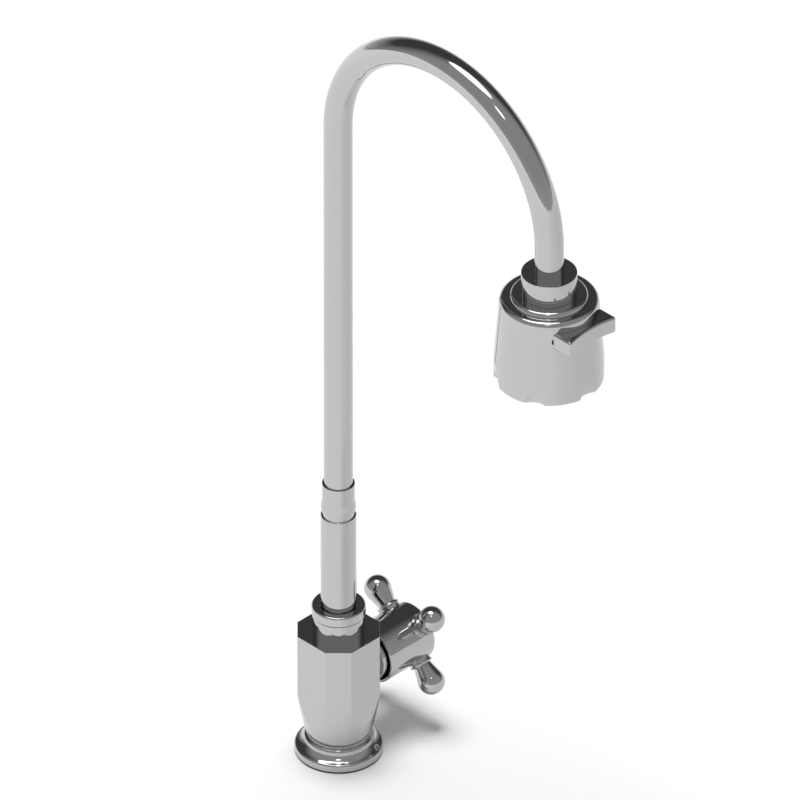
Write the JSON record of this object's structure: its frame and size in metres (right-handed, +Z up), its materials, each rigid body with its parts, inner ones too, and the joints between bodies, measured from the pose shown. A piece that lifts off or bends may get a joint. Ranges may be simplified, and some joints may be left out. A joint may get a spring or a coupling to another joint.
{
  "type": "kitchen tap",
  "caption": "Deck-mounted kitchen tap with a swivelling swan-neck spout, a side cross handle and a spray head with a jet selector lever.",
  "frame": {"origin": "centre of the base flange's underside, in the plane of the worktop", "axes": "+Z up along the riser, -Y towards the spray head, +X along the handle's axis"},
  "size_m": [0.0888, 0.2232, 0.5616],
  "materials": {
    "chrome": "polished plating",
    "brass": "machined",
    "steel": "plain stainless",
    "rubber": "matt black",
    "white_plastic": "moulded",
    "grey_plastic": "moulded",
    "ceramic": "lapped ceramic"
  },
  "bodies": {
    "fixed": {"base_flange": "chrome", "base_gasket": "rubber", "threaded_shank": "brass", "deck_rubber_washer": "rubber", "deck_steel_washer": "steel", "back_nut": "brass", "body": "chrome", "neck_adapter": "chrome", "neck_nut": "chrome", "swivel_washers": "white_plastic", "seat_seal": "rubber", "fixed_disc": "ceramic", "cartridge_body": "brass", "cartridge_o_ring": "rubber", "bonnet_nut": "chrome"},
    "handle": {"spindle": "brass", "moving_disc": "ceramic", "spindle_washer": "white_plastic", "spindle_clip": "steel", "handle_hub": "chrome", "handle_screw": "steel", "index_cap": "chrome", "handle_arm_1": "chrome", "handle_arm_2": "chrome", "handle_arm_3": "chrome", "handle_arm_4": "chrome"},
    "spout": {"spout_sleeve": "chrome", "spout_o_rings": "rubber", "spout_collar": "chrome", "gooseneck_tube": "chrome", "spout_end_fitting": "brass", "connector_nut": "chrome", "stem_washer": "rubber", "swivel_stem": "chrome", "stem_clip": "steel"},
    "head": {"head_housing": "chrome", "stem_bush": "white_plastic", "head_core": "white_plastic", "core_o_ring": "rubber", "spray_plate": "grey_plastic", "aerator_body": "chrome", "aerator_grille": "grey_plastic", "port_seal": "rubber"},
    "selector": {"selector_ring": "white_plastic", "selector_lever": "chrome", "lever_pins": "steel"}
  },
  "joints": [
    {"name": "handle_turn", "type": "hinge", "parent": "fixed", "child": "handle", "pos_m": [0, 0, 0.0507], "axis": [1, 0, 0], "range_deg": [0, 90]},
    {"name": "spout_swivel", "type": "hinge", "parent": "fixed", "child": "spout", "pos_m": [0, 0, 0.09], "axis": [0, 0, 1], "continuous": true},
    {"name": "head_swivel", "type": "hinge", "parent": "spout", "child": "head", "pos_m": [0, -0.1613, 0.375], "axis": [0, 0, 1], "continuous": true},
    {"name": "selector_turn", "type": "hinge", "parent": "head", "child": "selector", "pos_m": [0, -0.1613, 0.37], "axis": [0, 0, 1], "range_deg": [-20, 20]}
  ]
}
